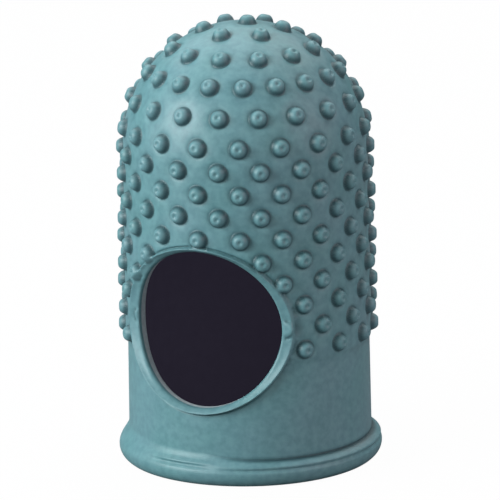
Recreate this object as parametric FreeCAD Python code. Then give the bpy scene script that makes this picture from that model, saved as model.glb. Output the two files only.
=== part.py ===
import FreeCAD
import Part

import math
import os

# A rubber finger cot, moulded in one piece: a tube with a round closed end, a bead round its
# open mouth, a round vent with a raised lip in one side, and rows of small blunt nubs.
# Millimetres. Z is up, the mouth is at the bottom, the vent faces -Y, and the origin is at the
# middle of the mouth, on the plane that the bead stands on.

# Tube and dome
MOUTH_RADIUS = 9.0          # straight bore that takes the finger
MOUTH_DEPTH = 4.6           # how far the bore runs before the inside starts to narrow
MOUTH_CHAMFER = 0.25        # bevel of the bore's lower edge
WALL = 1.1
SHOULDER_HEIGHT = 26.5      # where the tube ends and the dome begins
TAPER = 0.24                # how much smaller the tube's radius is at the shoulder than at the foot

# Bead round the mouth
BEAD_PROUD = 0.85           # how far it stands out from the wall
BEAD_HEIGHT = 2.1
BEAD_FOOT = 0.4             # how far the flat foot runs out under it

# Vent
VENT_RADIUS = 6.55
VENT_HEIGHT = 12.9          # its centre above the foot
LIP_WIDTH = 0.75
LIP_PROUD = 0.35

# Nubs
NUB_BASE = 0.8              # radius where a nub meets the wall
NUB_TIP = 0.42              # radius of its blunt end
NUB_HEIGHT = 0.85
NUB_ROOT = 0.2              # how deep it is let into the wall
NUB_SIDES = 6

# Rows of nubs on the tube
NUBS_PER_ROW = 18
PATTERN_TURN = 0.3          # degrees from the vent's middle to the nearest nub of an even row
BARE_BAND = 11.0            # height of the tube's lower part that has no nubs
TOP_ROW_DROP = 0.29         # how far below the shoulder the highest of these rows lies
ROW_PITCH = 1.88

# Rows of nubs on the dome, from its equator up
LATITUDES = (9.4, 23.4, 38.4, 53.9, 71.2, 88.0)     # degrees above the equator
FULL_DOME_ROWS = 2          # rows that are set out like those on the tube
CROWN_COUNTS = (NUBS_PER_ROW, 12, 6, 1)     # nubs in the rows above them
CROWN_TURNS = (2.5, 5.0, 50.0, 113.0)

FOOT_RADIUS = MOUTH_RADIUS + WALL
SHOULDER_RADIUS = FOOT_RADIUS - TAPER
UP = FreeCAD.Vector(0, 0, 1)


def wall_radius(height):
    """Outside radius of the bare tube at a height."""
    return FOOT_RADIUS - TAPER * height / SHOULDER_HEIGHT


def in_profile(radius, height):
    return FreeCAD.Vector(radius, 0, height)


def line(start, end):
    return Part.LineSegment(start, end).toShape()


def dome_arc(radius):
    """Quarter circle round the dome's middle, from its equator to its crown."""
    middle = math.sqrt(0.5) * radius
    return Part.Arc(
        in_profile(radius, SHOULDER_HEIGHT),
        in_profile(middle, SHOULDER_HEIGHT + middle),
        in_profile(0, SHOULDER_HEIGHT + radius),
    ).toShape()


def make_shell():
    """The bare tube, dome and bead, turned from one profile."""
    inner_dome = SHOULDER_RADIUS - WALL
    foot_inside = in_profile(MOUTH_RADIUS + MOUTH_CHAMFER, 0)
    foot_outside = in_profile(FOOT_RADIUS + BEAD_FOOT, 0)
    bead_side = in_profile(FOOT_RADIUS + BEAD_PROUD, BEAD_HEIGHT / 2)
    bead_top = in_profile(wall_radius(BEAD_HEIGHT), BEAD_HEIGHT)
    bore_bottom = in_profile(MOUTH_RADIUS, MOUTH_CHAMFER)
    bore_top = in_profile(MOUTH_RADIUS, MOUTH_DEPTH)
    profile = Part.Wire([
        line(foot_inside, foot_outside),
        Part.Arc(foot_outside, bead_side, bead_top).toShape(),
        line(bead_top, in_profile(SHOULDER_RADIUS, SHOULDER_HEIGHT)),
        dome_arc(SHOULDER_RADIUS),
        line(in_profile(0, SHOULDER_HEIGHT + SHOULDER_RADIUS), in_profile(0, SHOULDER_HEIGHT + inner_dome)),
        dome_arc(inner_dome),
        line(in_profile(inner_dome, SHOULDER_HEIGHT), bore_top),
        line(bore_top, bore_bottom),
        line(bore_bottom, foot_inside),
    ])
    return Part.Face(profile).revolve(FreeCAD.Vector(0, 0, 0), UP, 360)


def vent_bar(radius):
    """A round bar along the vent's axis, from the tube's middle out past its wall, lip and nubs."""
    reach = FOOT_RADIUS + LIP_PROUD + 2 * NUB_HEIGHT
    return Part.makeCylinder(radius, reach, UP * VENT_HEIGHT, FreeCAD.Vector(0, -1, 0))


def make_lip():
    """A ring round the vent that follows the wall and stands a little proud of it."""
    ring_radius = VENT_RADIUS + LIP_WIDTH
    low = VENT_HEIGHT - ring_radius
    high = VENT_HEIGHT + ring_radius
    root = WALL / 2
    outside = Part.makeCone(wall_radius(low) + LIP_PROUD, wall_radius(high) + LIP_PROUD, high - low, UP * low)
    inside = Part.makeCone(wall_radius(low) - root, wall_radius(high) - root, high - low, UP * low)
    return vent_bar(ring_radius).common(outside.cut(inside))


def flat_face(corners):
    return Part.Face(Part.makePolygon(corners + corners[:1]))


def make_nub(foot, outward):
    """A blunt many-sided peg that stands on the wall at foot."""
    side = UP.cross(outward).normalize()
    across = outward.cross(side)
    root_radius = NUB_BASE + (NUB_BASE - NUB_TIP) * NUB_ROOT / NUB_HEIGHT
    low = []
    high = []
    for k in range(NUB_SIDES):
        angle = 2 * math.pi * (k + 0.5) / NUB_SIDES
        spoke = side * math.cos(angle) + across * math.sin(angle)
        low.append(foot - outward * NUB_ROOT + spoke * root_radius)
        high.append(foot + outward * NUB_HEIGHT + spoke * NUB_TIP)
    faces = [flat_face(low), flat_face(high)]
    for k in range(NUB_SIDES):
        after = (k + 1) % NUB_SIDES
        faces.append(flat_face([low[k], low[after], high[after], high[k]]))
    return Part.Solid(Part.Shell(faces))


def directions(turn, count):
    """Level directions of the nubs in one row, by degrees from -Y towards +X."""
    angles = [math.radians(turn + 360 * k / count) for k in range(count)]
    return [FreeCAD.Vector(math.sin(angle), -math.cos(angle), 0) for angle in angles]


def staggered_turn(row):
    """Odd rows are set half a step round from even ones."""
    return PATTERN_TURN + (row % 2) * 180 / NUBS_PER_ROW


def tube_spots():
    """Foot and outward direction of each nub on the tube, from the highest row down."""
    highest = SHOULDER_HEIGHT - TOP_ROW_DROP
    row_count = 1 + int((highest - BARE_BAND) / ROW_PITCH)
    spots = []
    for row in range(row_count):
        height = highest - row * ROW_PITCH
        for level in directions(staggered_turn(row + 1), NUBS_PER_ROW):
            outward = (level * SHOULDER_HEIGHT + UP * TAPER).normalize()
            spots.append((level * wall_radius(height) + UP * height, outward))
    return spots


def dome_spots():
    """Foot and outward direction of each nub on the dome, from its equator up."""
    rows = [(NUBS_PER_ROW, staggered_turn(row)) for row in range(FULL_DOME_ROWS)]
    rows += zip(CROWN_COUNTS, CROWN_TURNS)
    spots = []
    for degrees, (count, turn) in zip(LATITUDES, rows):
        latitude = math.radians(degrees)
        for level in directions(turn, count):
            outward = level * math.cos(latitude) + UP * math.sin(latitude)
            spots.append((UP * SHOULDER_HEIGHT + outward * SHOULDER_RADIUS, outward))
    return spots


def outside_vent(foot):
    """False where a nub's blunt end would be wholly in the vent."""
    return foot.y > 0 or math.hypot(foot.x, foot.z - VENT_HEIGHT) > VENT_RADIUS - NUB_TIP


def make_cot():
    spots = tube_spots() + dome_spots()
    nubs = [make_nub(foot, outward) for foot, outward in spots if outside_vent(foot)]
    print("nubs", len(nubs))
    return make_shell().multiFuse([make_lip()] + nubs).cut(vent_bar(VENT_RADIUS))


os.makedirs("parts", exist_ok=True)
cot = make_cot()
print("solids", len(cot.Solids), "valid", cot.isValid(), "cubic mm", round(cot.Volume, 1))
cot.exportStep("parts/finger_cot.step")
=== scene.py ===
"""A rubber finger cot with rows of nubs, a round vent and a beaded mouth, standing on a pale floor."""
import math

import bmesh
import bpy
import numpy as np
from mathutils import Matrix, Vector, kdtree
from mathutils.geometry import delaunay_2d_cdt


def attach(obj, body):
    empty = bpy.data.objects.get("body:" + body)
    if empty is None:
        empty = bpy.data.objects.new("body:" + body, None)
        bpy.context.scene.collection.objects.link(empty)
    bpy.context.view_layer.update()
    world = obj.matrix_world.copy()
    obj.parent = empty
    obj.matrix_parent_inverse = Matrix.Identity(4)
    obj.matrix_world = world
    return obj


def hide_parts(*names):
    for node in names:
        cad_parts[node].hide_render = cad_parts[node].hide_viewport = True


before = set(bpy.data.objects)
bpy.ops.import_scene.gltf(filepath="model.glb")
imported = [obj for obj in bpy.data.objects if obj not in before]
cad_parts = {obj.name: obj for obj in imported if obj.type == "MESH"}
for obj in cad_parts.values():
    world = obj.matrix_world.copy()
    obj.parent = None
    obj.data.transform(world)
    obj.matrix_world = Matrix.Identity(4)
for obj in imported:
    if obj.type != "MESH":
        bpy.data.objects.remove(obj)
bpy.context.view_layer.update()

# Lengths are in millimetres here and in metres in Blender. The mouth is at the bottom, the vent
# faces -Y, and turns are degrees from -Y towards +X.
MM = 0.001

# Tube and dome
MOUTH_RADIUS = 9.0
MOUTH_DEPTH = 4.6
WALL = 1.1
SHOULDER_HEIGHT = 26.5
TAPER = 0.24
FOOT_RADIUS = MOUTH_RADIUS + WALL
SHOULDER_RADIUS = FOOT_RADIUS - TAPER
INNER_DOME = SHOULDER_RADIUS - WALL

# Bead: half round on the side where its top is sharp, drawn out up the wall where it is soft
BEAD_PROUD = 0.84
BEAD_MIDDLE = 1.05          # height of its widest line
BEAD_HALF_HEIGHT = 1.04
SOFT_TOP = 2.7              # where the soft bead leaves the wall
SOFT_TURN = -66.5
SOFT_SPREAD = 52.0
SOFT_FULL = 4.0             # above 1, the bead keeps its full softness for some way
FLARE_TOP = 3.1             # and where it leaves the wall at its softest
FLARE_SPREAD = 34.0
RIDGE_HEIGHT = 1.7          # a fine ridge round the bead's upper edge, with a groove under it
RIDGE_PROUD = 0.1
RIDGE_WIDTH = 0.13
GROOVE_DROP = 2.2           # widths of the ridge from its top down to the groove
FOLD_HEIGHT = 1.9           # a short ridge of its own at the flare's edge
FOLD_PROUD = 0.17
FOLD_TURN = -11.0
FOLD_SPREAD = 14.0
BEAD_CREASE = 0.07          # depth of the crease between bead and wall
BEAD_CREASE_WIDTH = 0.12
BEAD_FROM = 88.0            # degrees above and below its widest line where the bead's round ends
BEAD_TO = -60.0
MOUTH_EDGE = 0.3            # rounding of the bore's lower edge
SKIN_BOTTOM = 3.4           # where the turned foot hands over to the nubbed skin

# Points and rings of the foot
AROUND = 288
BEAD_POINTS = 41            # from its top down to its heel
BAND_SHARES = (0.3, 0.55, 0.75, 0.88, 0.95)     # of the way from the nubbed skin down to the bead
HEEL_STEPS = 4
FOOT_INSETS = (0.1, 0.45)   # rings across the flat foot, by how far they lie inside the wall's line
MOUTH_STEPS = 5
BORE_ROWS = 5               # rows of faces up the mouth's straight bore

# Vent and its lip, which is wider at the sides than above and below
VENT_RADIUS = 6.55
VENT_HEIGHT = 12.9
VENT_CLEAR = 0.6            # nubs fade out this near the vent
VENT_SHIFT = -0.16          # its lip leans in on the +X side, which makes it narrower
VENT_SQUEEZE = 0.976
LIP_SIDE = 0.88
LIP_END = 0.44
LIP_PROUD = 0.46
LIP_RIDGE = 0.72            # share of its width at which it is highest; it slopes down to the vent
LIP_HOLLOW = 1.7            # how hollow that slope is
LIP_ROUND = 0.3             # rounding of its edge into the cut wall
CUT_ROUND = 0.25            # rounding of the cut wall's edge on the inside
LIP_CREASE = 0.12           # depth of the fine crease along its outer foot
CREASE_MIDDLE = 1.14        # its middle and width, in widths of the lip
CREASE_WIDTH = 0.15
CREASE_SHADE = 0.6           # share of painted shade in it, where the nubs' feet have 1

# Points and rings round the vent. The rings over the lip are in widths of the lip.
VENT_POINTS = 208
LIP_RINGS = (0.5, 0.6, 0.67, 0.73, 0.79, 0.85, 0.9, 0.95, 1.0, 1.05, 1.1, 1.16, 1.22, 1.3, 1.42, 1.6)
LIP_STEPS = 6               # round the lip's edge into the cut
CUT_STEPS = 4               # through the cut wall
INNER_STEPS = 4             # round its edge on the inside
SKIN_STEPS = LIP_STEPS + 1  # how many of all these have the look of the skin, not of a cut

# Nubs, which stand on a slightly thicker zone of the wall
ZONE_PROUD = 0.18
ZONE_BOTTOM = 9.8           # where the zone begins
ZONE_FADE = 0.7             # and how far up it takes to reach its thickness
ZONE_RINGS = 5              # rings of points over that edge
NUB_BASE = 0.75
NUB_END = 0.42              # radius of its blunt end; a nub with all of its end in the vent is left out
NUB_HEIGHT = 0.66
NUB_POWERS = (3.0, 0.95)    # how flat its end is, and how steep its foot
NUB_UNEVEN = 0.06           # share by which a nub may be lower than it should be
NUB_SEED = 5
DIMPLE_DEPTH = 0.17
DIMPLE_RADIUS = 0.2
MOAT_DEPTH = 0.1            # ring that the mould leaves round a nub's foot
MOAT_RADIUS = 0.79
MOAT_WIDTH = 0.1
SHADE_RING_RADIUS = 0.71          # painted shade round the foot, where shade falls in its groove
SHADE_RING_WIDTH = 0.12

# Rings of points on and round a nub, by radius
NUB_RINGS = (0.08, 0.15, 0.22, 0.3, 0.38, 0.46, 0.54, 0.61, 0.67, 0.73, 0.79, 0.86, 0.93, 1.02)
NUB_ARC = 0.16              # distance between points on a ring
NUB_MOST = 20               # most points on a ring

# Rows of nubs
NUBS_PER_ROW = 18
PATTERN_TURN = 0.3
BARE_BAND = 11.0
TOP_ROW_DROP = 0.29
ROW_PITCH = 1.88
LATITUDES = (9.4, 23.4, 38.4, 53.9, 71.2, 88.0)     # degrees above the dome's equator
FULL_DOME_ROWS = 2
CROWN_COUNTS = (NUBS_PER_ROW, 12, 6, 1)
CROWN_TURNS = (2.5, 5.0, 50.0, 113.0)

# Spacing of the points between nubs, on the bare band and inside
FINE_STEP = 0.5
PLAIN_STEP = 0.75
INNER_STEP = 0.8

# How far points keep clear of those set before them
EDGE_CLEAR = 0.05           # nubs and lip, of the lip's rounded edge
LIP_CLEAR = 0.06            # lip, of nubs
ZONE_CLEAR = 0.1            # the zone's rings, of nubs and lip
FILLER_CLEAR = 0.3          # all others, of every ring
NO_VENT_HERE = 100.0        # distance from the vent given to points on the cot's back
TINY = 1e-9

# Numbers of the cot's materials, after the skin's, which is 0
INSIDE_LOOK = 1
CUT_LOOK = 2


def turned(turn, radius, height):
    """A point at a turn in radians."""
    return np.stack([radius * np.sin(turn), -radius * np.cos(turn), height + 0 * turn], -1)


def wall_radius(height):
    return FOOT_RADIUS - TAPER * height / SHOULDER_HEIGHT


def bore_radius(height):
    """Inside radius above the mouth's straight bore."""
    share = np.clip((height - MOUTH_DEPTH) / (SHOULDER_HEIGHT - MOUTH_DEPTH), 0, 1)
    return MOUTH_RADIUS + (INNER_DOME - MOUTH_RADIUS) * share


def from_dome_middle(points):
    return points - np.array([0, 0, SHOULDER_HEIGHT])


def seat(points, radius_at, dome_radius):
    """Moves points straight in or out until they lie on the tube or the dome."""
    seated = points.astype(float)
    on_tube = points[:, 2] <= SHOULDER_HEIGHT
    level = np.hypot(points[on_tube, 0], points[on_tube, 1])
    seated[on_tube, :2] *= (radius_at(points[on_tube, 2]) / level)[:, None]
    spokes = from_dome_middle(points[~on_tube])
    spokes *= dome_radius / np.linalg.norm(spokes, axis=1)[:, None]
    seated[~on_tube] = spokes + np.array([0, 0, SHOULDER_HEIGHT])
    return seated


def seat_outside(points):
    return seat(points, wall_radius, SHOULDER_RADIUS)


def outward_from(points):
    """Directions straight out of the bare wall."""
    out = from_dome_middle(points)
    on_tube = points[:, 2] <= SHOULDER_HEIGHT
    out[on_tube, 2] = TAPER / SHOULDER_HEIGHT * FOOT_RADIUS
    return out / np.linalg.norm(out, axis=1)[:, None]


def flatten(points):
    """Lays the tube and dome out flat, crown in the middle, without changing the shape of small pieces."""
    level = np.hypot(points[:, 0], points[:, 1])
    above = np.maximum(points[:, 2] - SHOULDER_HEIGHT, 0)
    below = np.maximum(SHOULDER_HEIGHT - points[:, 2], 0)
    reach = np.tan(np.arctan2(level, above) / 2) * np.exp(below / SHOULDER_RADIUS)
    return points[:, :2] * (reach / np.maximum(level, TINY))[:, None]


def level_directions(turn, count):
    turns = np.radians(turn + 360 * np.arange(count) / count)
    return turned(turns, 1, 0)


def staggered_turn(row):
    return PATTERN_TURN + (row % 2) * 180 / NUBS_PER_ROW


def tube_nubs():
    """Feet and outward directions of the nubs on the tube."""
    highest = SHOULDER_HEIGHT - TOP_ROW_DROP
    row_count = 1 + int((highest - BARE_BAND) / ROW_PITCH)
    feet = []
    for row in range(row_count):
        height = highest - row * ROW_PITCH
        level = level_directions(staggered_turn(row + 1), NUBS_PER_ROW)
        feet.append(level * wall_radius(height) + np.array([0, 0, height]))
    feet = np.concatenate(feet)
    return feet, outward_from(feet)


def dome_nubs():
    """Feet and outward directions of the nubs on the dome."""
    rows = [(NUBS_PER_ROW, staggered_turn(row)) for row in range(FULL_DOME_ROWS)]
    rows += zip(CROWN_COUNTS, CROWN_TURNS)
    outward = []
    for degrees, (count, turn) in zip(LATITUDES, rows):
        latitude = math.radians(degrees)
        level = level_directions(turn, count)
        outward.append(level * math.cos(latitude) + np.array([0, 0, math.sin(latitude)]))
    outward = np.concatenate(outward)
    return outward * SHOULDER_RADIUS + np.array([0, 0, SHOULDER_HEIGHT]), outward


def vent_gap(points):
    """How far points lie outside the vent's edge, seen along its axis."""
    gap = np.hypot((points[:, 0] - VENT_SHIFT) / VENT_SQUEEZE, points[:, 2] - VENT_HEIGHT) - VENT_RADIUS
    return np.where(points[:, 1] < 0, gap, NO_VENT_HERE)


def all_nubs():
    feet, outward = [np.concatenate(both) for both in zip(tube_nubs(), dome_nubs())]
    in_vent = np.hypot(feet[:, 0], feet[:, 2] - VENT_HEIGHT) < VENT_RADIUS - NUB_END
    kept = ~in_vent | (feet[:, 1] > 0)
    return feet[kept], outward[kept]


def nub_heights(outward):
    """Heights of the nubs, of which no two are quite alike."""
    return NUB_HEIGHT * np.random.default_rng(NUB_SEED).uniform(1 - NUB_UNEVEN, 1, len(outward))


def nub_rise(gap, height):
    """Height of a nub at a distance from its axis."""
    flat, steep = NUB_POWERS
    body = height * (1 - np.minimum(gap / NUB_BASE, 1) ** flat) ** steep
    return body - DIMPLE_DEPTH * np.exp(-(gap / DIMPLE_RADIUS) ** 2)


def hill(place, middle, width):
    """A smooth hill that is 1 high."""
    return np.exp(-((place - middle) / width) ** 2)


def eased(share):
    """Goes from 0 to 1 with a soft start and end."""
    share = np.clip(share, 0, 1)
    return share ** 2 * (3 - 2 * share)


def zone(height):
    return ZONE_PROUD * eased((height - ZONE_BOTTOM) / ZONE_FADE)


def lip_width(points):
    """The lip's width beside a point, seen along the vent's axis."""
    angle = np.arctan2(points[:, 2] - VENT_HEIGHT, points[:, 0] - VENT_SHIFT)
    return LIP_END + (LIP_SIDE - LIP_END) * np.cos(angle) ** 2


def lip_rise(share):
    """Height of the lip at a share of its width, 0 at the vent's edge and 1 at its outer foot."""
    fall = np.clip((share - LIP_RIDGE) / (1 - LIP_RIDGE), 0, 1)
    return LIP_PROUD * np.minimum((share / LIP_RIDGE) ** LIP_HOLLOW, (1 - fall ** 2) ** 0.5)


def search_tree(points):
    tree = kdtree.KDTree(len(points))
    for number, point in enumerate(points):
        tree.insert(point, number)
    tree.balance()
    return tree


def nearest_nub(points, feet, outward):
    """Each point's distance from the axis of the nub beside it, and that nub's number."""
    tree = search_tree(feet)
    nearest = np.array([tree.find(point)[1] for point in points])
    spokes = points - feet[nearest]
    along = (spokes * outward[nearest]).sum(1)[:, None] * outward[nearest]
    return np.linalg.norm(spokes - along, axis=1), nearest


def raise_skin(points, feet, outward):
    """Lifts points of the bare wall to the nubs and the lip, and says how much painted shade each one gets
    round the nubs and in the lip's crease.
    """
    gap, nearest = nearest_nub(points, feet, outward)
    edge_gap = np.maximum(vent_gap(points), 0)
    share = edge_gap / lip_width(points)
    clear = np.minimum(edge_gap / VENT_CLEAR, 1)
    nub = nub_rise(gap, nub_heights(outward)[nearest]) * clear
    lip = lip_rise(share)
    # The sum of cubes lets nubs and lip run into each other softly
    rise = np.cbrt(np.maximum(nub + zone(points[:, 2]) * clear, 0) ** 3 + lip ** 3)
    beside_lip = 1 - lip / LIP_PROUD
    crease = hill(share, CREASE_MIDDLE, CREASE_WIDTH) * (1 - np.clip(nub / NUB_HEIGHT, 0, 1))
    rise -= MOAT_DEPTH * hill(gap, MOAT_RADIUS, MOAT_WIDTH) * beside_lip + LIP_CREASE * crease
    # Painted shade: a dark ring round each nub's foot and along the lip's crease, where shade falls
    painted_shade = np.maximum(hill(gap, SHADE_RING_RADIUS, SHADE_RING_WIDTH) * beside_lip, CREASE_SHADE * crease)
    # Points well inside a nub's foot rise along its axis, and the others straight out of the wall
    toward_nub = np.clip(2 - 2 * gap / MOAT_RADIUS, 0, 1)[:, None]
    direction = outward_from(points) * (1 - toward_nub) + outward[nearest] * toward_nub
    direction /= np.linalg.norm(direction, axis=1)[:, None]
    return points + direction * rise[:, None], painted_shade


def ring_points(middle, outward, radius, count, turn):
    """Points on a circle round a nub's axis."""
    side = np.cross([0, 0, 1], outward)
    side /= np.linalg.norm(side)
    across = np.cross(outward, side)
    angles = turn + 2 * math.pi * np.arange(count) / count
    return middle + radius * (np.cos(angles)[:, None] * side + np.sin(angles)[:, None] * across)


def points_on_nubs(feet, outward):
    """The middle of each nub and the rings round it."""
    points = [feet]
    for foot, direction in zip(feet, outward):
        for number, radius in enumerate(NUB_RINGS):
            count = min(NUB_MOST, int(2 * math.pi * radius / NUB_ARC) + 2)
            turn = (number % 2) * math.pi / count
            points.append(ring_points(foot, direction, radius, count, turn))
    return seat_outside(np.concatenate(points))


def vent_ring(radius, radius_at):
    """Points where a bar along the vent's axis meets a wall."""
    angles = 2 * math.pi * np.arange(VENT_POINTS) / VENT_POINTS
    x = VENT_SHIFT + VENT_SQUEEZE * radius * np.cos(angles)
    z = VENT_HEIGHT + radius * np.sin(angles)
    return np.stack([x, -np.sqrt(radius_at(z) ** 2 - x ** 2), z], -1)


def points_on_lip():
    """Rings of points over the lip and its crease."""
    rings = []
    edge = vent_ring(VENT_RADIUS, wall_radius)
    spokes = edge - np.array([VENT_SHIFT, 0, VENT_HEIGHT])
    spokes[:, 1] = 0
    for share in LIP_RINGS:
        rings.append(edge + spokes / VENT_RADIUS * (share * lip_width(edge))[:, None])
    return seat_outside(np.concatenate(rings))


def rows_of_points(lowest, highest, step, radius_at, dome_radius):
    """Evenly spread points over the tube and the dome, row by row."""
    rows = []
    height_steps = int((SHOULDER_HEIGHT - lowest) / step)
    for number in range(height_steps):
        height = SHOULDER_HEIGHT - number * step
        if height < highest:
            rows.append((radius_at(height), height, number))
    if highest > SHOULDER_HEIGHT:
        dome_steps = int(math.pi / 2 * dome_radius / step)
        for number in range(1, dome_steps):
            angle = number * step / dome_radius
            height = SHOULDER_HEIGHT + dome_radius * math.sin(angle)
            rows.append((dome_radius * math.cos(angle), height, number))
    points = []
    for radius, height, number in rows:
        count = max(3, int(2 * math.pi * radius / step))
        turns = 2 * math.pi * (np.arange(count) + 0.5 * (number % 2)) / count
        points.append(turned(turns, radius, height))
    return np.concatenate(points)


def circle(radius, height):
    return turned(2 * math.pi * np.arange(AROUND) / AROUND, radius, height)


def zone_levels():
    """Heights of the rings of points over the edge of the nubbed zone."""
    return np.linspace(ZONE_BOTTOM, ZONE_BOTTOM + ZONE_FADE, ZONE_RINGS)


def apart(points, others, clearance):
    """The points that keep a clearance from others."""
    tree = search_tree(others)
    return np.array([point for point in points if tree.find(point)[2] > clearance])


def triangulate(points, loops):
    """Triangles over points laid out flat, with closed loops of edges kept, from the first points on."""
    edges = []
    start = 0
    for length in loops:
        edges += [(start + k, start + (k + 1) % length) for k in range(length)]
        start += length
    flat = [Vector(place) for place in flatten(points)]
    _, _, triangles, origins, _, _ = delaunay_2d_cdt(flat, edges, [], 0, TINY, True)
    named = [origin[0] for origin in origins]
    return np.array([[named[corner] for corner in triangle] for triangle in triangles])


def without_vent(triangles, points, edge_gap):
    middles = points[triangles].mean(1)
    return triangles[vent_gap(middles) > edge_gap]


def outer_skin(feet, outward):
    """Base points and triangles of the outside, with the lower circle and then the vent's loop first."""
    lower = circle(wall_radius(SKIN_BOTTOM), SKIN_BOTTOM)
    edge = vent_ring(VENT_RADIUS + LIP_ROUND, wall_radius)
    nubs = points_on_nubs(feet, outward)
    nubs = nubs[vent_gap(nubs) > LIP_ROUND + EDGE_CLEAR]
    lip = points_on_lip()
    lip = apart(lip[vent_gap(lip) > LIP_ROUND + EDGE_CLEAR], nubs, LIP_CLEAR)
    bare_top = BARE_BAND - NUB_RINGS[-1]
    rings = np.concatenate([circle(wall_radius(level), level) for level in zone_levels()])
    rings = apart(rings[vent_gap(rings) > LIP_ROUND], np.concatenate([nubs, lip, edge]), ZONE_CLEAR)
    filler = np.concatenate([
        rows_of_points(bare_top, 2 * SHOULDER_HEIGHT, FINE_STEP, wall_radius, SHOULDER_RADIUS),
        rows_of_points(SKIN_BOTTOM + FILLER_CLEAR, bare_top, PLAIN_STEP, wall_radius, SHOULDER_RADIUS),
    ])
    filler = filler[vent_gap(filler) > LIP_ROUND]
    filler = apart(filler, np.concatenate([nubs, lip, edge, rings]), FILLER_CLEAR)
    points = np.concatenate([lower, edge, nubs, lip, rings, filler])
    triangles = triangulate(points, (AROUND, VENT_POINTS))
    return points, without_vent(triangles, points, LIP_ROUND)


def inner_skin():
    """Points and triangles of the inside, with its lower circle and then the vent's loop first."""
    lower = circle(MOUTH_RADIUS, MOUTH_DEPTH)
    edge = vent_ring(VENT_RADIUS + CUT_ROUND, bore_radius)
    lowest = MOUTH_DEPTH + FILLER_CLEAR
    filler = rows_of_points(lowest, 2 * SHOULDER_HEIGHT, INNER_STEP, bore_radius, INNER_DOME)
    filler = filler[vent_gap(filler) > CUT_ROUND]
    filler = apart(filler, edge, FILLER_CLEAR)
    points = np.concatenate([lower, edge, filler])
    triangles = triangulate(points, (AROUND, VENT_POINTS))
    return points, without_vent(triangles, points, CUT_ROUND)[:, ::-1]


def bend(start, corner, end, steps):
    """Rings of a rounded corner, without its first ring."""
    rings = []
    for share in (np.arange(steps) + 1) / steps:
        rings.append(start * (1 - share) ** 2 + 2 * corner * share * (1 - share) + end * share ** 2)
    return rings


def vent_rim(outer_edge, inner_edge):
    """Rings from the lip's top over its edge, through the cut wall to the inside."""
    inward = np.array([0, 1, 0])
    corner = vent_ring(VENT_RADIUS, wall_radius)
    inner_corner = vent_ring(VENT_RADIUS, bore_radius)
    wall_start = corner + inward * LIP_ROUND
    wall_end = inner_corner - inward * CUT_ROUND
    rings = bend(outer_edge, corner, wall_start, LIP_STEPS)
    for share in (np.arange(CUT_STEPS) + 1) / CUT_STEPS:
        rings.append(wall_start * (1 - share) + wall_end * share)
    return rings + bend(wall_end, inner_corner, inner_edge, INNER_STEPS)[:-1]


def bead_outline(softness, top):
    """Distances out from the wall, and heights, down the outside of the bead."""
    angles = np.radians(np.linspace(BEAD_FROM, BEAD_TO, BEAD_POINTS))
    sharp_out = BEAD_PROUD * np.cos(angles)
    sharp_height = BEAD_MIDDLE + BEAD_HALF_HEIGHT * np.sin(angles)
    upper = np.clip(np.degrees(angles) / BEAD_FROM, 0, 1)
    soft_height = np.where(angles > 0, BEAD_MIDDLE + (top - BEAD_MIDDLE) * upper, sharp_height)
    soft_out = np.where(angles > 0, BEAD_PROUD * (0.5 + 0.5 * np.cos(math.pi * upper)), sharp_out)
    out = sharp_out + (soft_out - sharp_out) * softness
    height = sharp_height + (soft_height - sharp_height) * softness
    return out, height


def falloff(turns, middle, spread):
    """1 at the middle and less to both sides. Turns are in radians, the other two in degrees."""
    off = (np.degrees(turns) - middle + 180) % 360 - 180
    return hill(off, 0, spread)


def ripple(height, top):
    """A fine ridge with a groove under it."""
    groove = top - GROOVE_DROP * RIDGE_WIDTH
    return hill(height, top, RIDGE_WIDTH) - hill(height, groove, RIDGE_WIDTH)


def foot_rings():
    """Rings from below the nubbed skin, down over the bead, across the foot and up the mouth."""
    turns = 2 * math.pi * np.arange(AROUND) / AROUND
    softness = eased(SOFT_FULL * falloff(turns, SOFT_TURN, SOFT_SPREAD))[:, None]
    flare = falloff(turns, SOFT_TURN, FLARE_SPREAD)[:, None]
    fold = falloff(turns, FOLD_TURN, FOLD_SPREAD)[:, None]
    out, height = bead_outline(softness, SOFT_TOP + (FLARE_TOP - SOFT_TOP) * flare)
    out += FOLD_PROUD * fold * ripple(height, FOLD_HEIGHT)
    out += RIDGE_PROUD * (1 - softness) * (1 - fold) * ripple(height, RIDGE_HEIGHT)
    # Painted shade along the bead's crease follows its depth
    crease = (1 - softness) ** 2 * hill(height, height[:, :1], BEAD_CREASE_WIDTH)
    out -= BEAD_CREASE * crease
    rings = []
    painted_shade = []
    top = height[:, 0]
    for share in BAND_SHARES:
        level = SKIN_BOTTOM + (top - SKIN_BOTTOM) * share
        near = crease[:, 0] * hill(level, top, BEAD_CREASE_WIDTH)
        rings.append(turned(turns, wall_radius(level) - BEAD_CREASE * near, level))
        painted_shade.append(near)
    for column in range(out.shape[1]):
        level = height[:, column]
        rings.append(turned(turns, wall_radius(level) + out[:, column], level))
        painted_shade.append(crease[:, column])
    heel = out[:, -1]
    low = height[:, -1]
    heel_start = turned(turns, FOOT_RADIUS + heel, low)
    heel_corner = turned(turns, FOOT_RADIUS + heel - low, 0)
    heel_end = turned(turns, FOOT_RADIUS + heel - 2 * low, 0)
    rings += bend(heel_start, heel_corner, heel_end, HEEL_STEPS)
    rings += [circle(FOOT_RADIUS - inset, 0) for inset in FOOT_INSETS]
    mouth_start = circle(MOUTH_RADIUS + MOUTH_EDGE, 0)
    rings.append(mouth_start)
    rings += bend(mouth_start, circle(MOUTH_RADIUS, 0), circle(MOUTH_RADIUS, MOUTH_EDGE), MOUTH_STEPS)
    for row in range(1, BORE_ROWS):
        rings.append(circle(MOUTH_RADIUS, MOUTH_EDGE + (MOUTH_DEPTH - MOUTH_EDGE) * row / BORE_ROWS))
    painted_shade += [np.zeros(AROUND)] * (len(rings) - len(painted_shade))
    return rings, np.concatenate(painted_shade)


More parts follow.
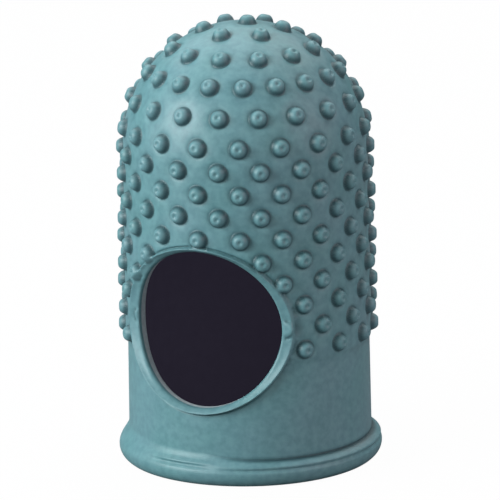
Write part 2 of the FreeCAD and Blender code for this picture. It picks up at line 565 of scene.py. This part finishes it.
def strips(first, last, start, rings, count):
    """Quads from the ring of vertices at first, through new rings from start on, to the ring at last."""
    rows = [first + np.arange(count)]
    rows += [start + k * count + np.arange(count) for k in range(rings)]
    rows.append(last + np.arange(count))
    quads = []
    for upper, lower in zip(rows, rows[1:]):
        quads += list(zip(upper, np.roll(upper, -1), np.roll(lower, -1), lower))
    return quads


def skin_mesh():
    """One closed mesh of the whole cot, each face's material and how much painted shade each point gets.
    """
    feet, outward = all_nubs()
    outer, outer_faces = outer_skin(feet, outward)
    outer, grooves = raise_skin(outer, feet, outward)
    inner, inner_faces = inner_skin()
    rim = vent_rim(outer[AROUND:AROUND + VENT_POINTS], inner[AROUND:AROUND + VENT_POINTS])
    foot, foot_painted_shade = foot_rings()
    inner_start = len(outer)
    rim_start = inner_start + len(inner)
    foot_start = rim_start + len(rim) * VENT_POINTS
    points = np.concatenate([outer, inner] + rim + foot)
    rim_faces = strips(AROUND, inner_start + AROUND, rim_start, len(rim), VENT_POINTS)
    foot_faces = strips(0, inner_start, foot_start, len(foot), AROUND)
    faces = [tuple(face) for face in outer_faces.tolist()]
    faces += [tuple(face) for face in (inner_faces + inner_start).tolist()]
    faces += rim_faces + foot_faces
    looks = np.zeros(len(faces), np.int32)
    looks[len(outer_faces):len(outer_faces) + len(inner_faces)] = INSIDE_LOOK
    looks[len(faces) - BORE_ROWS * AROUND:] = INSIDE_LOOK
    cut = len(outer_faces) + len(inner_faces) + SKIN_STEPS * VENT_POINTS
    looks[cut:cut + len(rim_faces) - SKIN_STEPS * VENT_POINTS] = CUT_LOOK
    # The inside and the vent's rim get no painted shade
    unshaded = np.zeros(foot_start - inner_start)
    painted_shade = np.concatenate([grooves, unshaded, foot_painted_shade])
    return points, faces, looks, painted_shade


def make_cot():
    points, faces, looks, painted_shade = skin_mesh()
    mesh = bpy.data.meshes.new("cot_skin")
    mesh.from_pydata((points * MM).tolist(), [], faces)
    cot = bpy.data.objects.new("cot_skin", mesh)
    bpy.context.scene.collection.objects.link(cot)
    mesh.materials.append(rubber())
    mesh.materials.append(painted_shade_inside())
    mesh.materials.append(lit_cut_rubber())
    mesh.polygons.foreach_set("material_index", looks)
    mesh.polygons.foreach_set("use_smooth", np.ones(len(faces), bool))
    # Painted shade per point, read by the rubber's colour
    mesh.attributes.new("painted_shade", "FLOAT", "POINT").data.foreach_set("value", painted_shade)
    whole = bmesh.new()
    whole.from_mesh(mesh)
    bmesh.ops.recalc_face_normals(whole, faces=whole.faces)
    whole.to_mesh(mesh)
    open_edges = sum(not edge.is_manifold for edge in whole.edges)
    whole.free()
    print("vertices", len(points), "faces", len(faces), "open edges", open_edges)
    return cot


# Colours of the skin from dark to light, of its broad drift, of painted shade round nubs and in creases,
# of the inside painted dark as shade, and of the cut wall painted pale as if lit
SKIN_TONES = ((0.088, 0.212, 0.242), (0.144, 0.306, 0.334))
DRIFT_TONES = ((0.102, 0.252, 0.27), (0.134, 0.262, 0.302))
DRIFT_SHARE = 0.45
SKIN_ROUGHNESS = (0.45, 0.51)
# Painted shade: dark where shade falls round the nubs' feet and in creases
PAINTED_SHADE_COLOUR = (0.01, 0.042, 0.052)
PAINTED_SHADE_SHARE = 0.9            # share of painted shade in the deepest grooves
# The inside is the same rubber as outside, painted near black as shade; its faint glow is painted light
INSIDE_SHADE_TONES = ((0.03, 0.026, 0.042), (0.038, 0.033, 0.052))
INSIDE_PAINTED_GLOW = (0.7, 0.6, 1.0)
INSIDE_PAINTED_GLOW_LEVEL = 0.02
# The cut wall is painted paler than the rubber, as if lit
CUT_LIT_TONES = ((0.36, 0.43, 0.46), (0.45, 0.52, 0.55))

# Values of the noise at which two tones start and end
SKIN_STOPS = (0.34, 0.66)
DRIFT_STOPS = (0.35, 0.65)
WIDE_STOPS = (0.3, 0.7)

# Sizes of the noises' lumps, in millimetres
DRIFT_SIZE = 5.0
TONE_SIZE = 0.55
GRAIN_SIZE = 0.16
GRAIN_DEPTH = 0.02
INSIDE_SIZE = 1.2
CUT_SIZE = 0.3


def new_material(name):
    material = bpy.data.materials.new(name)
    material.use_nodes = True
    nodes = material.node_tree.nodes
    return material, nodes, material.node_tree.links, nodes["Principled BSDF"]


def noise_at(nodes, links, size, detail):
    """A noise whose lumps are about size millimetres across."""
    place = nodes.new("ShaderNodeTexCoord")
    texture = nodes.new("ShaderNodeTexNoise")
    texture.inputs["Scale"].default_value = 1 / (size * MM)
    texture.inputs["Detail"].default_value = detail
    links.new(place.outputs["Object"], texture.inputs["Vector"])
    return texture.outputs["Fac"]


def ramp(nodes, links, value, stops, tones):
    """Two colours spread between two values of an input."""
    node = nodes.new("ShaderNodeValToRGB")
    node.color_ramp.elements[0].position = stops[0]
    node.color_ramp.elements[1].position = stops[1]
    node.color_ramp.elements[0].color = (*tones[0], 1)
    node.color_ramp.elements[1].color = (*tones[1], 1)
    links.new(value, node.inputs["Fac"])
    return node.outputs["Color"]


def mixed(nodes, links, share, first, second):
    """A mix of two colours by a share, which is a number or an output."""
    node = nodes.new("ShaderNodeMix")
    node.data_type = "RGBA"
    if isinstance(share, float):
        node.inputs["Factor"].default_value = share
    else:
        links.new(share, node.inputs["Factor"])
    links.new(first, node.inputs["A"])
    links.new(second, node.inputs["B"])
    return node.outputs["Result"]


def span(nodes, links, value, low, high, to_low, to_high):
    """Maps a value from one range to another."""
    node = nodes.new("ShaderNodeMapRange")
    node.inputs["From Min"].default_value = low
    node.inputs["From Max"].default_value = high
    node.inputs["To Min"].default_value = to_low
    node.inputs["To Max"].default_value = to_high
    links.new(value, node.inputs["Value"])
    return node.outputs["Result"]


def rubber():
    """Satin grey-green moulded rubber, faintly mottled, with painted shade round the nubs' feet and in
    creases.
    """
    material, nodes, links, shader = new_material("grey_green_rubber")
    broad = noise_at(nodes, links, DRIFT_SIZE, detail=2.0)
    fine = noise_at(nodes, links, TONE_SIZE, detail=4.0)
    grain = noise_at(nodes, links, GRAIN_SIZE, detail=3.0)
    tone = ramp(nodes, links, fine, SKIN_STOPS, SKIN_TONES)
    drift = ramp(nodes, links, broad, DRIFT_STOPS, DRIFT_TONES)
    unshaded = mixed(nodes, links, DRIFT_SHARE, tone, drift)
    # Painted shade: the skin darkens toward this colour where the attribute is high
    painted_shade = nodes.new("ShaderNodeAttribute")
    painted_shade.attribute_name = "painted_shade"
    depth = span(nodes, links, painted_shade.outputs["Fac"], 0, 1, 0, PAINTED_SHADE_SHARE)
    shade_colour = nodes.new("ShaderNodeRGB")
    shade_colour.outputs[0].default_value = (*PAINTED_SHADE_COLOUR, 1)
    links.new(mixed(nodes, links, depth, unshaded, shade_colour.outputs[0]), shader.inputs["Base Color"])
    links.new(span(nodes, links, fine, *WIDE_STOPS, *SKIN_ROUGHNESS), shader.inputs["Roughness"])
    shader.inputs["Specular IOR Level"].default_value = 0.55
    bump = nodes.new("ShaderNodeBump")
    bump.inputs["Strength"].default_value = 0.25
    bump.inputs["Distance"].default_value = GRAIN_DEPTH * MM
    links.new(grain, bump.inputs["Height"])
    links.new(bump.outputs["Normal"], shader.inputs["Normal"])
    return material


def painted_shade_inside():
    """The inside, painted near black as shade though it is the same rubber, with a faint painted glow."""
    material, nodes, links, shader = new_material("painted_shade_inside")
    fine = noise_at(nodes, links, INSIDE_SIZE, detail=3.0)
    tone = ramp(nodes, links, fine, WIDE_STOPS, INSIDE_SHADE_TONES)
    links.new(tone, shader.inputs["Base Color"])
    shader.inputs["Roughness"].default_value = 0.85
    shader.inputs["Specular IOR Level"].default_value = 0.15
    shader.inputs["Emission Color"].default_value = (*INSIDE_PAINTED_GLOW, 1)
    shader.inputs["Emission Strength"].default_value = INSIDE_PAINTED_GLOW_LEVEL
    return material


def lit_cut_rubber():
    """The punched edge of the vent, painted paler than the moulded skin to stand for the light it catches,
    and duller.
    """
    material, nodes, links, shader = new_material("lit_cut_rubber")
    fine = noise_at(nodes, links, CUT_SIZE, detail=3.0)
    tone = ramp(nodes, links, fine, WIDE_STOPS, CUT_LIT_TONES)
    links.new(tone, shader.inputs["Base Color"])
    shader.inputs["Roughness"].default_value = 0.6
    return material


# The view: turned this far from the vent, looking slightly down, through a long lens
VIEW_TURN = 23.5
VIEW_DISTANCE = 454.5
VIEW_HEIGHT = 133.3
VIEW_PITCH = 0.2499         # radians, as are the next two
VIEW_YAW = 0.0005
VIEW_ROLL = -0.01869
FOCAL_PIXELS = 5678
PICTURE_WIDTH = 500
SENSOR = 36.0
NEAREST_SEEN = 0.05         # metres

# Light from all round, and the floor, which looks almost white to the camera
AMBIENT_COLOUR = (0.94, 0.95, 1.0)
AMBIENT_LEVEL = 0.02
FLOOR_HALF = 3.0            # metres
FLOOR_COLOUR = (0.22, 0.22, 0.23)
FLOOR_GLOW = 1.05
FLOOR_GLOW_SHARE = 0.93     # the rest shows the shadows


def level_direction(turn):
    angle = math.radians(turn)
    return Vector((math.sin(angle), -math.cos(angle), 0))


def make_camera():
    data = bpy.data.cameras.new("camera")
    data.sensor_width = SENSOR
    data.lens = FOCAL_PIXELS / PICTURE_WIDTH * SENSOR
    data.clip_start = NEAREST_SEEN
    camera = bpy.data.objects.new("camera", data)
    bpy.context.scene.collection.objects.link(camera)
    back = level_direction(VIEW_TURN - math.degrees(VIEW_YAW))
    right = Vector((-back.y, back.x, 0))
    forward = -back * math.cos(VIEW_PITCH) - Vector((0, 0, math.sin(VIEW_PITCH)))
    up = right.cross(forward)
    rolled_right = right * math.cos(VIEW_ROLL) + up * math.sin(VIEW_ROLL)
    rolled_up = up * math.cos(VIEW_ROLL) - right * math.sin(VIEW_ROLL)
    turn = Matrix((rolled_right, rolled_up, -forward)).transposed().to_4x4()
    place = level_direction(VIEW_TURN) * VIEW_DISTANCE + Vector((0, 0, VIEW_HEIGHT))
    camera.matrix_world = Matrix.Translation(place * MM) @ turn
    bpy.context.scene.camera = camera


def add_lamp(name, turn, elevation, distance, width, height, level, colour):
    """A soft lamp that lights a white face towards it to a level. Its sizes are in metres."""
    data = bpy.data.lights.new(name, "AREA")
    data.shape = "RECTANGLE"
    data.size = width
    data.size_y = height
    data.energy = level * (math.pi * distance) ** 2
    data.color = colour
    lamp = bpy.data.objects.new(name, data)
    bpy.context.scene.collection.objects.link(lamp)
    aim = Vector((0, 0, SHOULDER_HEIGHT / 2 * MM))
    away = level_direction(turn) * math.cos(math.radians(elevation))
    away.z = math.sin(math.radians(elevation))
    lamp.location = aim + away * distance
    lamp.rotation_euler = away.to_track_quat("Z", "Y").to_euler()


def make_lights():
    add_lamp(
        "key", turn=VIEW_TURN - 66, elevation=24, distance=0.3,
        width=0.2, height=0.16, level=1.25, colour=(0.93, 1.0, 1.0),
    )
    add_lamp(
        "behind", turn=VIEW_TURN + 178, elevation=62, distance=0.5,
        width=0.8, height=0.6, level=1.42, colour=(0.96, 1.0, 1.0),
    )
    add_lamp(
        "front", turn=VIEW_TURN + 28, elevation=20, distance=0.8,
        width=1.2, height=0.8, level=0.43, colour=(0.98, 1.0, 1.0),
    )
    add_lamp(
        "side", turn=VIEW_TURN + 75, elevation=24, distance=0.5,
        width=0.2, height=0.4, level=0.26, colour=(1.0, 0.72, 0.78),
    )


def make_surroundings():
    """Faint light from all round, which the camera sees as plain white."""
    world = bpy.data.worlds.new("studio")
    bpy.context.scene.world = world
    world.use_nodes = True
    nodes = world.node_tree.nodes
    links = world.node_tree.links
    ambient = nodes["Background"]
    ambient.inputs["Color"].default_value = (*AMBIENT_COLOUR, 1)
    ambient.inputs["Strength"].default_value = AMBIENT_LEVEL
    plain = nodes.new("ShaderNodeBackground")
    plain.inputs["Color"].default_value = (1, 1, 1, 1)
    choose = nodes.new("ShaderNodeMixShader")
    path = nodes.new("ShaderNodeLightPath")
    links.new(path.outputs["Is Camera Ray"], choose.inputs["Fac"])
    links.new(ambient.outputs["Background"], choose.inputs[1])
    links.new(plain.outputs["Background"], choose.inputs[2])
    links.new(choose.outputs["Shader"], nodes["World Output"].inputs["Surface"])


def make_floor():
    """A wide white floor that keeps a faint shadow."""
    mesh = bpy.data.meshes.new("floor")
    corners = [(x * FLOOR_HALF, y * FLOOR_HALF, 0) for x, y in ((-1, -1), (1, -1), (1, 1), (-1, 1))]
    mesh.from_pydata(corners, [], [(0, 1, 2, 3)])
    floor = bpy.data.objects.new("floor", mesh)
    bpy.context.scene.collection.objects.link(floor)
    material, nodes, links, shader = new_material("white_floor")
    shader.inputs["Base Color"].default_value = (*FLOOR_COLOUR, 1)
    shader.inputs["Roughness"].default_value = 0.9
    shader.inputs["Specular IOR Level"].default_value = 0
    glow = nodes.new("ShaderNodeEmission")
    glow.inputs["Strength"].default_value = FLOOR_GLOW
    choose = nodes.new("ShaderNodeMixShader")
    path = nodes.new("ShaderNodeLightPath")
    share = span(nodes, links, path.outputs["Is Camera Ray"], 0, 1, 0, FLOOR_GLOW_SHARE)
    links.new(share, choose.inputs["Fac"])
    links.new(shader.outputs["BSDF"], choose.inputs[1])
    links.new(glow.outputs["Emission"], choose.inputs[2])
    links.new(choose.outputs["Shader"], nodes["Material Output"].inputs["Surface"])
    mesh.materials.append(material)


cot = make_cot()
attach(cot, "root")
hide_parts("finger_cot")
make_floor()
make_lights()
make_surroundings()
make_camera()
bpy.context.scene.view_settings.view_transform = "Standard"
